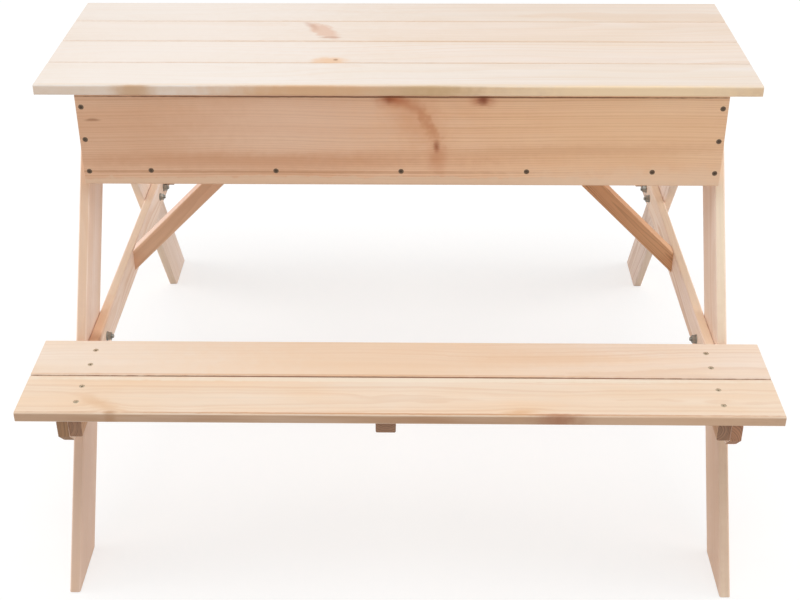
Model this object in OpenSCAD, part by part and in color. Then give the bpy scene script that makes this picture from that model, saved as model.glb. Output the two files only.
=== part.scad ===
// Child's pine picnic table with a sand box under two lift-off lids.
// The ground is z = 0, the front bench is towards -Y and the left side towards -X.
// The origin is on the ground under the middle of the table.

/* [Boards and battens] */
// Thickness of every board
board_t = 14; // [12:0.5:18]
// Width of a table or bench board
board_w = 83; // [72:1:95]
// Rounding of the long edges of a board
board_r = 2.5; // [1:0.5:4]
// Width of a batten, the long side of its section
batten_w = 25; // [22:1:32]
// Thickness of a batten, the short side of its section
batten_t = 16; // [12:1:20]
// Rounding of the long edges of a batten
batten_r = 2; // [1:0.5:4]

/* [Table top] */
// How far the lids reach past each end of the sand box
lid_end_overhang = 45; // [30:1:80]
// How far the lids reach past the front and the rear of the sand box
lid_side_overhang = 7; // [4:1:20]
// Gap between the two boards of a lid
lid_seam = 0.6; // [0.4:0.1:2]
// Gap between the two lids
lid_gap = 1; // [0.6:0.2:4]
// How far the loose lids lie off the middle, towards the left
lid_shift = 5; // [0:1:8]
// Play between the lid battens and the ends of the sand box
lid_play_x = 12; // [10:1:20]
// Play between the lid battens and the front or rear of the sand box
lid_play_y = 3; // [1:0.5:8]

/* [Sand box] */
// Length of the sand box outside
box_l = 848; // [760:1:900]
// Height of the walls of the sand box
panel_h = 130; // [110:1:150]
// Height of the top edge of the sand box above the ground
box_top_z = 588; // [560:1:640]
// Height of the floor ledgers above the lower edge of the panels
ledger_up = 8; // [6:0.5:16]
// Gap between the floor boards
floor_gap = 1; // [0.5:0.1:3]

/* [Legs] */
// Width of a leg board
leg_w = 76; // [66:1:84]
// Splay of the legs from upright, in degrees
leg_splay = 35; // [30:1:38]
// How far the outer edge of a leg lies behind the sand box panel, at the lower edge of the panel
leg_set_in = 25; // [18:1:34]
// Gap between the tops of a front and a rear leg
leg_butt_gap = 1; // [0.5:0.1:4]
// Gap between the tops of the legs and the lids
leg_lid_gap = 3; // [1:0.5:10]

/* [Seats] */
// Height of the top of the seat beams above the ground
beam_top_z = 269; // [240:1:290]
// Height of a seat beam, the long side of its section
beam_h = 44; // [40:1:56]
// How far each end of a seat beam stops short of the bench edge
beam_recess = 3; // [0:1:12]
// Size of the slanting cut at the lower end corners of a seat beam
beam_cut = 20; // [4:1:22]
// How far the benches reach past each end of the sand box
bench_end_overhang = 50; // [30:1:80]
// Gap between a bench and the legs
bench_clear = 8.5; // [6:0.5:20]
// Gap between the two boards of a bench
bench_seam = 1; // [0.5:0.1:4]
// How far the bench battens stop short of the bench edges
batten_recess = 5; // [2:1:12]
// Distance of the middle bench batten from the middle of the bench
mid_batten_x = -16; // [-40:1:40]

/* [Braces] */
// Angle of the braces above level, in degrees
brace_angle = 45; // [43:1:52]
// Height of the section of a brace, square to its length and seen from the front
brace_h = 24; // [18:1:28]
// Thickness of a brace from front to rear
brace_t = 24; // [16:1:30]
// Distance of the middle of the braces behind the middle of the table
brace_y = 10; // [-20:1:20]

/* [Screws] */
// Shank diameter of the countersunk screws
screw_d = 3.5; // [3:0.5:4]
// Head diameter of the countersunk screws
screw_head_d = 7; // [6:0.5:8]
// Depth of a screw head under the surface of the wood
screw_sunk = 0.4; // [0.2:0.1:1]
// Wood left past the tip of a screw in a batten, a beam or a lid
screw_cover = 4; // [3:0.5:6]
// Depth of a screw in the end of a box end
screw_bite = 21; // [14:1:22]
// Depth of a screw in the end of a brace
brace_bite = 14; // [10:1:15]
// Distance of the end screws of a panel from its upper and lower edges
panel_screw_in = 19; // [12:1:24]
// Spacing of the screws along a floor ledger
ledger_screw_step = 167; // [120:1:180]
// Distance between the two screws of a board on a batten
screw_step = 34; // [26:1:40]

/* [Bolts] */
// Diameter of the carriage bolts
bolt_d = 6; // [5:0.5:7]
// Diameter of the round bolt heads
bolt_head_d = 14; // [12:0.5:16]
// Height of the round bolt heads
bolt_head_h = 3.5; // [2.5:0.5:5]
// How far the bolt ends stand out of the nuts
bolt_tip = 3; // [1:0.5:5]
// Outer diameter of the washers
washer_d = 13; // [12:0.5:16]
// Thickness of the washers
washer_t = 1.6; // [1:0.1:2]
// Width of the nuts across their flats
nut_af = 10; // [9:0.5:11]
// Thickness of the nuts
nut_t = 5; // [4:0.5:7]
// Distance between the two bolts of a joint
bolt_step = 36; // [30:1:40]
// How far both bolt pairs of a seat beam lie behind the middle of the legs
bolt_shift = 10; // [-12:1:12]
// Height of the box bolts above the lower edge of the sand box
box_bolt_up = 16; // [12:1:18]

/* [Hidden] */
floor_board_count = 10;
FLOOR_BOARDS = [for (i = [1:floor_board_count]) str("floor_board_", i)];

$fn = 48;
// Clearance of a screw in its hole, on the radius
screw_fit = 0.1;
// Clearance of a bolt in its hole, its washer and its nut, on the radius
bolt_fit = 0.2;
// Clearance at each end of a piece that fits between two walls
end_fit = 0.5;

// Signs of the sides along X and of the ends along Y
left = -1;
right = 1;
front = -1;
rear = 1;

pale_pine = [0.93, 0.87, 0.79];
peach_pine = [0.93, 0.82, 0.71];
warm_pine = [0.87, 0.69, 0.51];
pink_pine = [0.88, 0.73, 0.6];
brown_pine = [0.79, 0.6, 0.43];
zinc = [0.66, 0.67, 0.68];
dark_zinc = [0.36, 0.35, 0.34];

// Lengths of the boards along the table
lid_l = box_l + 2 * lid_end_overhang;
bench_l = box_l + 2 * bench_end_overhang;
// Longer than any board, for blocks that cut the end of one
far = 2 * bench_l;

// Heights
panel_bottom_z = box_top_z - panel_h;
ledger_z = panel_bottom_z + ledger_up;
floor_z = ledger_z + batten_w;
leg_top_z = box_top_z - leg_lid_gap;
beam_z = beam_top_z - beam_h / 2;
box_bolt_z = panel_bottom_z + box_bolt_up;

// Places across the table, for the rear half
lid_board_y = [lid_gap / 2 + board_w / 2, lid_gap / 2 + board_w * 3 / 2 + lid_seam];
box_out_y = lid_board_y[1] + board_w / 2 - lid_side_overhang;
box_in_y = box_out_y - board_t;
ledger_y = box_in_y - batten_t / 2;
lid_batten_y = [lid_gap / 2 + lid_play_y, box_in_y - lid_play_y];
function leg_edge_y(z) = box_out_y - leg_set_in + (panel_bottom_z - z) * tan(leg_splay);
function leg_mid_y(z) = leg_edge_y(z) - leg_w / cos(leg_splay) / 2;
bench_in_y = leg_edge_y(beam_top_z) + bench_clear;
bench_out_y = bench_in_y + 2 * board_w + bench_seam;
bench_board_y = [bench_in_y + board_w / 2, bench_out_y - board_w / 2];
bench_mid_y = (bench_in_y + bench_out_y) / 2;

// Places along the table, for the right half
leg_in_x = box_l / 2;
leg_out_x = leg_in_x + board_t;
box_in_x = box_l / 2 - board_t;
end_batten_x = box_in_x - batten_t / 2;
lid_batten_x = box_in_x - lid_play_x - batten_w / 2;

// Lengths of the pieces across the table
beam_l = 2 * (bench_out_y - beam_recess);
bench_batten_l = 2 * board_w + bench_seam - 2 * batten_recess;
lid_batten_l = lid_batten_y[1] - lid_batten_y[0];

// The floor boards share the length between the box ends
floor_pitch = (2 * box_in_x + floor_gap - 2 * end_fit) / floor_board_count;
function floor_board_x(i) = (i - (floor_board_count + 1) / 2) * floor_pitch;

// The braces run from the seat beams up to the underside of the floor
brace_rise = floor_z - beam_top_z;
brace_l = brace_rise / sin(brace_angle) + 2 * brace_h;
brace_top_x = box_in_x - brace_rise / tan(brace_angle);
// Distance of a brace screw from the long side of the brace, measured along each cut end
brace_screw_up = brace_h / cos(brace_angle) / 4;
brace_screw_in = brace_h / sin(brace_angle) / 4;

// Lengths of the screws: into a batten on edge, into a flat batten or board, into end grain,
// and into a floor ledger, where they stop above the screws that hold the ledger
edge_screw_l = board_t + batten_w - screw_cover;
flat_screw_l = board_t + batten_t - screw_cover;
end_screw_l = board_t + screw_bite;
brace_screw_l = board_t + brace_bite;
floor_screw_l = board_t + batten_w / 2 - screw_d;

// Places of the screws and bolts
screw_pair = [-screw_step / 2, screw_step / 2];
panel_screw_z = [
  panel_bottom_z + panel_screw_in,
  box_top_z - panel_h / 2,
  box_top_z - panel_screw_in
];
lid_seam_y = (lid_board_y[0] + lid_board_y[1]) / 2;
lid_screw_y = [(lid_batten_y[0] + lid_seam_y) / 2, (lid_seam_y + lid_batten_y[1]) / 2];
beam_bolt_y = [
  for (end = [front, rear], k = [-1, 1])
    end * leg_mid_y(beam_z) + bolt_shift + k * bolt_step / 2
];
box_bolt_y = [
  for (end = [front, rear], k = [-1, 1])
    end * leg_mid_y(box_bolt_z) + k * bolt_step / 2
];

// Rounded section of a board: w wide, t high, standing on y = 0
module section(w, t, r) {
  translate([-w / 2 + r, 0]) square([w - 2 * r, t]);
  translate([-w / 2, r]) square([w, t - 2 * r]);
  for (x = [-w / 2 + r, w / 2 - r], y = [r, t - r]) {
    translate([x, y]) circle(r);
  }
}

// Board along X: w wide and t high, standing on z = 0 and centred on X and Y
module plank_x(l, w, t, r) {
  rotate([90, 0, 90]) linear_extrude(l, center = true) section(w, t, r);
}

// Board along Y: w wide and t high, standing on z = 0 and centred on X and Y
module plank_y(l, w, t, r) {
  rotate([0, 0, 90]) plank_x(l, w, t, r);
}

// Turns a piece of the right rear corner to the named side and end
module corner(side, end = rear) {
  mirror([side < 0 ? 1 : 0, 0, 0]) mirror([0, end < 0 ? 1 : 0, 0]) children();
}

// Countersunk screw that points down from the surface z = 0; grow widens it into its hole
module screw(l, grow = 0) {
  cone_h = (screw_head_d - screw_d) / 2;
  translate([0, 0, -screw_sunk - cone_h]) {
    cylinder(h = cone_h, d1 = screw_d + 2 * grow, d2 = screw_head_d + 2 * grow);
  }
  translate([0, 0, -l]) cylinder(h = l - screw_sunk - cone_h, d = screw_d + 2 * grow);
}

// Hole of a countersunk screw, open at the surface
module screw_hole(l) {
  screw(l, screw_fit);
  translate([0, 0, -screw_sunk]) cylinder(h = 2 * screw_sunk, d = screw_head_d + 2 * screw_fit);
}

// Turn a screw or bolt that points down so that it points along X or Y, towards way
module point_x(way) {
  rotate([0, -90 * way, 0]) children();
}
module point_y(way) {
  rotate([90 * way, 0, 0]) children();
}

// The module of each kind of fastener sets its children at every place where one goes

// Screws through a panel into the box ends
module at_panel_screws(end) {
  for (side = [left, right], z = panel_screw_z) {
    translate([side * (box_l - board_t) / 2, end * box_out_y, z]) point_y(-end) children();
  }
}

// Screws through a panel into a floor ledger
module at_ledger_screws(end) {
  for (i = [-2:2]) {
    translate([i * ledger_screw_step, end * box_out_y, ledger_z + batten_w / 2]) {
      point_y(-end) children();
    }
  }
}

// Screws through a floor board into the ledgers
module at_floor_screws(i) {
  for (end = [front, rear], k = screw_pair) {
    translate([floor_board_x(i) + k, end * ledger_y, floor_z + board_t]) children();
  }
}

// Screw through the floor into the upper end of a brace
module at_brace_floor_screw(side) {
  translate([side * (brace_top_x - brace_screw_in), brace_y, floor_z + board_t]) children();
}

// Screw through a seat beam into the lower end of a brace
module at_brace_beam_screw(side) {
  translate([side * leg_in_x, brace_y, beam_top_z - brace_screw_up]) point_x(-side) children();
}

// Screws through the bench boards into the end battens
module at_bench_screws(side, end) {
  for (y = bench_board_y, k = screw_pair) {
    translate([side * end_batten_x, end * y + k, beam_top_z + board_t]) children();
  }
}

// Screws from below through the middle batten into the bench boards
module at_bench_batten_screws(end) {
  for (y = bench_board_y, k = screw_pair) {
    translate([mid_batten_x, end * y + k, beam_top_z - batten_t]) mirror([0, 0, 1]) children();
  }
}

// Screws through an end batten into the seat beam
module at_beam_screws(side, end) {
  for (y = bench_board_y) {
    translate([side * (box_in_x - batten_t), end * y, beam_top_z - batten_w / 2]) {
      point_x(side) children();
    }
  }
}

// Screws from below through the battens of a lid into its boards
module at_lid_screws(end) {
  for (x = [-lid_batten_x, 0, lid_batten_x], y = lid_screw_y, k = screw_pair) {
    translate([x - lid_shift, end * y + k, box_top_z - batten_t]) mirror([0, 0, 1]) children();
  }
}

// Bolts of one side: they point inwards, from the outer face of the legs
module at_bolts(side) {
  for (y = beam_bolt_y) {
    translate([side * leg_out_x, y, beam_z]) point_x(-side) children();
  }
  for (y = box_bolt_y) {
    translate([side * leg_out_x, y, box_bolt_z]) point_x(-side) children();
  }
}
module bolt_holes(side) {
  at_bolts(side) cylinder(h = far, d = bolt_d + 2 * bolt_fit, center = true);
}

// Leg: a board at the splay angle, cut level at the foot and the top, and upright where
// the front and the rear leg meet
module leg(side, end) {
  color(pink_pine) difference() {
    corner(side, end) intersection() {
      translate([leg_in_x + board_t / 2, leg_mid_y(0), 0]) rotate([leg_splay, 0, 0]) {
        translate([0, -leg_w / 2, -leg_w]) {
          linear_extrude(leg_top_z / cos(leg_splay) + 2 * leg_w) section(board_t, leg_w, board_r);
        }
      }
      translate([0, leg_butt_gap / 2, 0]) cube([far, far, leg_top_z]);
    }
    bolt_holes(side);
  }
}

// Seat beam on the inner side of a pair of legs, with a slanting cut under each end
module seat_beam(side) {
  color(pink_pine) difference() {
    translate([side * (box_in_x + board_t / 2), 0, beam_top_z - beam_h]) {
      difference() {
        plank_y(beam_l, board_t, beam_h, board_r);
        for (end = [front, rear]) {
          translate([0, end * beam_l / 2, 0]) rotate([45, 0, 0]) {
            cube([far, beam_cut * sqrt(2), beam_cut * sqrt(2)], center = true);
          }
        }
      }
    }
    bolt_holes(side);
    for (end = [front, rear]) at_beam_screws(side, end) screw_hole(flat_screw_l);
    at_brace_beam_screw(side) screw_hole(brace_screw_l);
  }
}

// Brace: a slanting batten, cut upright at the seat beam and level under the floor
module brace(side) {
  color(brown_pine) difference() {
    corner(side) intersection() {
      translate([box_in_x, brace_y, beam_top_z]) rotate([0, brace_angle, 0]) {
        translate([0, 0, -brace_h]) plank_x(2 * brace_l, brace_t, brace_h, batten_r);
      }
      translate([0, -far / 2, 0]) cube([box_in_x, far, floor_z]);
    }
    at_brace_beam_screw(side) screw_hole(brace_screw_l);
    at_brace_floor_screw(side) screw_hole(brace_screw_l);
  }
}

// Front or rear wall of the sand box
module box_panel(end) {
  color(warm_pine) difference() {
    translate([0, end * (box_out_y - board_t / 2), panel_bottom_z]) {
      plank_x(box_l, board_t, panel_h, board_r);
    }
    at_panel_screws(end) screw_hole(end_screw_l);
    at_ledger_screws(end) screw_hole(flat_screw_l);
  }
}

// Left or right wall of the sand box, between the panels
module box_end(side) {
  color(warm_pine) difference() {
    translate([side * (box_in_x + board_t / 2), 0, panel_bottom_z]) {
      plank_y(2 * box_in_y, board_t, panel_h, board_r);
    }
    for (end = [front, rear]) at_panel_screws(end) screw_hole(end_screw_l);
    bolt_holes(side);
  }
}

// Batten on edge behind a panel, which carries the floor
module floor_ledger(end) {
  color(brown_pine) difference() {
    translate([0, end * ledger_y, ledger_z]) {
      plank_x(2 * (box_in_x - end_fit), batten_t, batten_w, batten_r);
    }
    at_ledger_screws(end) screw_hole(flat_screw_l);
    for (i = [1:floor_board_count]) at_floor_screws(i) screw_hole(floor_screw_l);
  }
}

// Cross board of the floor
module floor_board(i) {
  color(peach_pine) difference() {
    translate([floor_board_x(i), 0, floor_z]) {
      plank_y(2 * (box_in_y - end_fit), floor_pitch - floor_gap, board_t, board_r);
    }
    at_floor_screws(i) screw_hole(floor_screw_l);
    for (side = [left, right]) at_brace_floor_screw(side) screw_hole(brace_screw_l);
  }
}

// Board of a bench, with its middle at y from the middle of the table
module bench_board(end, y) {
  color(peach_pine) difference() {
    translate([0, end * y, beam_top_z]) plank_x(bench_l, board_w, board_t, board_r);
    for (side = [left, right]) at_bench_screws(side, end) screw_hole(edge_screw_l);
    at_bench_batten_screws(end) screw_hole(flat_screw_l);
  }
}

// Batten on edge under the end of a bench, against the seat beam
module bench_end_batten(side, end) {
  color(brown_pine) difference() {
    translate([side * end_batten_x, end * bench_mid_y, beam_top_z - batten_w]) {
      plank_y(bench_batten_l, batten_t, batten_w, batten_r);
    }
    at_bench_screws(side, end) screw_hole(edge_screw_l);
    at_beam_screws(side, end) screw_hole(flat_screw_l);
  }
}

// Flat batten under the middle of a bench
module bench_middle_batten(end) {
  color(brown_pine) difference() {
    translate([mid_batten_x, end * bench_mid_y, beam_top_z - batten_t]) {
      plank_y(bench_batten_l, batten_w, batten_t, batten_r);
    }
    at_bench_batten_screws(end) screw_hole(flat_screw_l);
  }
}

// Board of a lid, with its middle at y from the middle of the table
module lid_board(end, y) {
  color(pale_pine) difference() {
    translate([-lid_shift, end * y, box_top_z]) plank_x(lid_l, board_w, board_t, board_r);
    at_lid_screws(end) screw_hole(flat_screw_l);
  }
}

// Flat batten under a lid, which drops inside the sand box
module lid_batten(end, x) {
  color(pale_pine) difference() {
    translate([x - lid_shift, end * (lid_batten_y[0] + lid_batten_y[1]) / 2, box_top_z - batten_t]) {
      plank_y(lid_batten_l, batten_w, batten_t, batten_r);
    }
    at_lid_screws(end) screw_hole(flat_screw_l);
  }
}

module lid_screws(end) {
  color(zinc) at_lid_screws(end) screw(flat_screw_l);
}

// Bolts with a domed head, through a leg and the seat beam or the box end
module carriage_bolts() {
  dome_r = (pow(bolt_head_d / 2, 2) + pow(bolt_head_h, 2)) / (2 * bolt_head_h);
  shank_l = 2 * board_t + washer_t + nut_t + bolt_tip;
  color(zinc) for (side = [left, right]) at_bolts(side) {
    rotate_extrude() intersection() {
      translate([0, bolt_head_h - dome_r]) circle(dome_r);
      square([bolt_head_d / 2, bolt_head_h]);
    }
    translate([0, 0, -shank_l]) cylinder(h = shank_l, d = bolt_d);
  }
}

// Plain washers between the wood and the nuts
module washers() {
  color(zinc) for (side = [left, right]) at_bolts(side) {
    translate([0, 0, -2 * board_t - washer_t]) difference() {
      cylinder(h = washer_t, d = washer_d);
      cylinder(h = 3 * washer_t, d = bolt_d + 2 * bolt_fit, center = true);
    }
  }
}

// Hexagon nuts on the inner side, with their corners turned down at both faces
module hex_nuts() {
  across = nut_af / cos(30);
  color(zinc) for (side = [left, right]) at_bolts(side) {
    translate([0, 0, -2 * board_t - washer_t - nut_t]) difference() {
      intersection() {
        cylinder(h = nut_t, d = across, $fn = 6);
        rotate_extrude() polygon([
          [0, 0], [nut_af / 2, 0], [across / 2, (across - nut_af) / 3],
          [across / 2, nut_t - (across - nut_af) / 3], [nut_af / 2, nut_t], [0, nut_t]
        ]);
      }
      cylinder(h = 3 * nut_t, d = bolt_d + 2 * bolt_fit, center = true);
    }
  }
}

module panel_screws() {
  color(dark_zinc) for (end = [front, rear]) at_panel_screws(end) screw(end_screw_l);
}

module ledger_screws() {
  color(dark_zinc) for (end = [front, rear]) at_ledger_screws(end) screw(flat_screw_l);
}

module floor_screws() {
  color(dark_zinc) for (i = [1:floor_board_count]) at_floor_screws(i) screw(floor_screw_l);
}

module bench_screws() {
  color(dark_zinc) for (side = [left, right], end = [front, rear]) {
    at_bench_screws(side, end) screw(edge_screw_l);
  }
}

module bench_batten_screws() {
  color(dark_zinc) for (end = [front, rear]) at_bench_batten_screws(end) screw(flat_screw_l);
}

module beam_screws() {
  color(dark_zinc) for (side = [left, right], end = [front, rear]) {
    at_beam_screws(side, end) screw(flat_screw_l);
  }
}

module brace_screws() {
  color(dark_zinc) for (side = [left, right]) {
    at_brace_floor_screw(side) screw(brace_screw_l);
    at_brace_beam_screw(side) screw(brace_screw_l);
  }
}

leg(left, front);  // leg_front_left
leg(right, front);  // leg_front_right
leg(left, rear);  // leg_rear_left
leg(right, rear);  // leg_rear_right
seat_beam(left);  // seat_beam_left
seat_beam(right);  // seat_beam_right
brace(left);  // brace_left
brace(right);  // brace_right
box_panel(front);  // box_panel_front
box_panel(rear);  // box_panel_rear
box_end(left);  // box_end_left
box_end(right);  // box_end_right
floor_ledger(front);  // floor_ledger_front
floor_ledger(rear);  // floor_ledger_rear
for (i = [1:floor_board_count]) {
  floor_board(i);
}
bench_board(front, bench_board_y[1]);  // bench_front_outer_board
bench_board(front, bench_board_y[0]);  // bench_front_inner_board
bench_board(rear, bench_board_y[1]);  // bench_rear_outer_board
bench_board(rear, bench_board_y[0]);  // bench_rear_inner_board
bench_end_batten(left, front);  // bench_front_batten_left
bench_middle_batten(front);  // bench_front_batten_middle
bench_end_batten(right, front);  // bench_front_batten_right
bench_end_batten(left, rear);  // bench_rear_batten_left
bench_middle_batten(rear);  // bench_rear_batten_middle
bench_end_batten(right, rear);  // bench_rear_batten_right
lid_board(front, lid_board_y[1]);  // lid_front_outer_board
lid_board(front, lid_board_y[0]);  // lid_front_inner_board
lid_batten(front, -lid_batten_x);  // lid_front_batten_left
lid_batten(front, 0);  // lid_front_batten_middle
lid_batten(front, lid_batten_x);  // lid_front_batten_right
lid_board(rear, lid_board_y[1]);  // lid_rear_outer_board
lid_board(rear, lid_board_y[0]);  // lid_rear_inner_board
lid_batten(rear, -lid_batten_x);  // lid_rear_batten_left
lid_batten(rear, 0);  // lid_rear_batten_middle
lid_batten(rear, lid_batten_x);  // lid_rear_batten_right
lid_screws(front);  // lid_front_screws
lid_screws(rear);  // lid_rear_screws
carriage_bolts();
washers();
hex_nuts();
panel_screws();
ledger_screws();
floor_screws();
bench_screws();
bench_batten_screws();
beam_screws();
brace_screws();
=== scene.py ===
import math
import bpy
from mathutils import Matrix, Vector


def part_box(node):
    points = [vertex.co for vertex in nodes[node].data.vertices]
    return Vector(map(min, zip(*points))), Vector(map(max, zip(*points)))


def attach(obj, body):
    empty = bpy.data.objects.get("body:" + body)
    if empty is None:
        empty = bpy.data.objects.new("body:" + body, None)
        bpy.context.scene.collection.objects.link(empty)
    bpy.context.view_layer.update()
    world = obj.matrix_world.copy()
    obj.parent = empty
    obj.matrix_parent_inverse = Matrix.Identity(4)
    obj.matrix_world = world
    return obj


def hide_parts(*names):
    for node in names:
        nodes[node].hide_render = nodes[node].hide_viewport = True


# Child's pine picnic table with a sand box under two lift-off lids. Lengths are in metres,
# apart from those of the wood's figure and those whose names end in _mm, which are in
# millimetres. The front bench is towards -Y.
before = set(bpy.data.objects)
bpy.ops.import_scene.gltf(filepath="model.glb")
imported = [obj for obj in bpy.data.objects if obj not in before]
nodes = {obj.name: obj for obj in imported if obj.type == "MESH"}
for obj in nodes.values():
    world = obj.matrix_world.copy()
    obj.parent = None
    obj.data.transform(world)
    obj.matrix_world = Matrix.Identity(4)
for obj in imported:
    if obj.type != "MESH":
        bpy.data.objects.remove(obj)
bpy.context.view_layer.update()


# Camera, floor and light
# A plain pale studio: the table stands on a wide white floor in even white light, with a large
# soft lamp above and one at each side. The camera stands in front, above the table top.
camera_place = Vector((0.02037, -1.76198, 1.23323))
camera_down, camera_left, camera_roll = 30.7776, 0.8991, -0.1758
sensor_width_mm, picture_width_px = 36.0, 800
focal_px, middle_right_px, middle_up_px = 1321.9, -2.11, 0.10

camera_data = bpy.data.cameras.new("camera")
camera_data.sensor_width = sensor_width_mm
camera_data.lens = focal_px / picture_width_px * sensor_width_mm
camera_data.shift_x = -middle_right_px / picture_width_px
camera_data.shift_y = -middle_up_px / picture_width_px
camera = bpy.data.objects.new("camera", camera_data)
camera.matrix_world = (
    Matrix.Translation(camera_place)
    @ Matrix.Rotation(math.radians(camera_left), 4, "Z")
    @ Matrix.Rotation(math.radians(90 - camera_down), 4, "X")
    @ Matrix.Rotation(math.radians(camera_roll), 4, "Z")
)
bpy.context.scene.collection.objects.link(camera)
bpy.context.scene.camera = camera
bpy.context.scene.view_settings.view_transform = "Standard"


def linear(hex_colour):
    """Linear colour of an sRGB hex value."""
    parts = [int(hex_colour[i:i + 2], 16) / 255 for i in (1, 3, 5)]
    parts = [c / 12.92 if c <= 0.04045 else ((c + 0.055) / 1.055) ** 2.4 for c in parts]
    return (*parts, 1)


def add_node(tree, kind, inputs=None, **settings):
    """Adds a node with its settings. An input takes a value, or a socket or node to link.

    A node is linked by its first output in use, and a list links each of its items.
    """
    node = tree.nodes.new(kind)
    for name, value in settings.items():
        setattr(node, name, value)
    for key, value in (inputs or {}).items():
        for item in value if isinstance(value, list) else [value]:
            if isinstance(item, bpy.types.Node):
                item = next(output for output in item.outputs if output.enabled)
            if isinstance(item, bpy.types.NodeSocket):
                tree.links.new(item, node.inputs[key])
            else:
                node.inputs[key].default_value = item
    return node


def new_tree(owner, output="ShaderNodeOutputMaterial"):
    """Empty node tree of a material or the world, with its output node."""
    owner.use_nodes = True
    owner.node_tree.nodes.clear()
    return owner.node_tree, owner.node_tree.nodes.new(output)


world_light = 0.62
world = bpy.data.worlds.new("studio")
bpy.context.scene.world = world
world_tree, world_out = new_tree(world, "ShaderNodeOutputWorld")
rays = add_node(world_tree, "ShaderNodeLightPath").outputs
seen = rays["Is Camera Ray"]
for ray in ("Is Glossy Ray", "Is Transmission Ray"):
    seen = add_node(world_tree, "ShaderNodeMath", {0: seen, 1: rays[ray]}, operation="MAXIMUM")
strength = add_node(world_tree, "ShaderNodeMapRange",
                    {"Value": seen, "To Min": world_light, "To Max": 1.0})
background = add_node(world_tree, "ShaderNodeBackground",
                      {"Color": (1, 1, 1, 1), "Strength": strength})
world_tree.links.new(background.outputs[0], world_out.inputs["Surface"])

lamp_aim = Vector((0, 0, 0.35))
for name, place, size, power in (("lamp_above", (0.0, -0.6, 2.9), 2.4, 24),
                                 ("lamp_left", (-3.2, 0.3, 0.7), 2.0, 60),
                                 ("lamp_right", (3.2, 0.3, 0.7), 2.0, 60)):
    lamp_data = bpy.data.lights.new(name, "AREA")
    lamp_data.shape = "SQUARE"
    lamp_data.size = size
    lamp_data.energy = power
    lamp = bpy.data.objects.new(name, lamp_data)
    aim = (lamp_aim - Vector(place)).to_track_quat("-Z", "Y")
    lamp.matrix_world = Matrix.Translation(place) @ aim.to_matrix().to_4x4()
    bpy.context.scene.collection.objects.link(lamp)

floor_reach, floor_gap = 30.0, 0.0005
floor_mesh = bpy.data.meshes.new("floor")
floor_mesh.from_pydata([(x * floor_reach, y * floor_reach, -floor_gap)
                        for x, y in ((-1, -1), (1, -1), (1, 1), (-1, 1))], [], [(0, 1, 2, 3)])
floor = bpy.data.objects.new("floor", floor_mesh)
bpy.context.scene.collection.objects.link(floor)
# White paint: it shows white to the camera and keeps the table's shadow as a light grey. Past
# the light of the lamps it glows a little more, so that it stays white there.
floor_paint = bpy.data.materials.new("white_floor_paint")
floor_tree, floor_out = new_tree(floor_paint)
rays = add_node(floor_tree, "ShaderNodeLightPath").outputs
matt = add_node(floor_tree, "ShaderNodeBsdfDiffuse", {"Color": (0.70, 0.69, 0.68, 1)})
shaded = add_node(floor_tree, "ShaderNodeBsdfDiffuse", {"Color": (0.42, 0.42, 0.42, 1)})
lit_reach, dim_reach, near_glow, far_glow = 1.3, 4.0, 0.62, 0.76
spot = add_node(floor_tree, "ShaderNodeTexCoord").outputs["Object"]
away = add_node(floor_tree, "ShaderNodeVectorMath", {0: spot}, operation="LENGTH")
strength = add_node(floor_tree, "ShaderNodeMapRange",
                    {"Value": away, "From Min": lit_reach, "From Max": dim_reach,
                     "To Min": near_glow, "To Max": far_glow}, interpolation_type="SMOOTHSTEP")
glow = add_node(floor_tree, "ShaderNodeEmission",
                {"Color": (1, 1, 1, 1), "Strength": strength})
white = add_node(floor_tree, "ShaderNodeAddShader", {0: shaded, 1: glow})
paint = add_node(floor_tree, "ShaderNodeMixShader",
                 {0: rays["Is Camera Ray"], 1: matt, 2: white})
floor_tree.links.new(paint.outputs[0], floor_out.inputs["Surface"])
floor_mesh.materials.append(floor_paint)


# Legs
# Four pine boards, sawn and left bare, 14 mm thick. They lean 35 degrees, and are cut level at
# the foot and the top and upright where two meet. Bolts hold them to the beams and the box.
leg_splay = math.radians(35)


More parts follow.
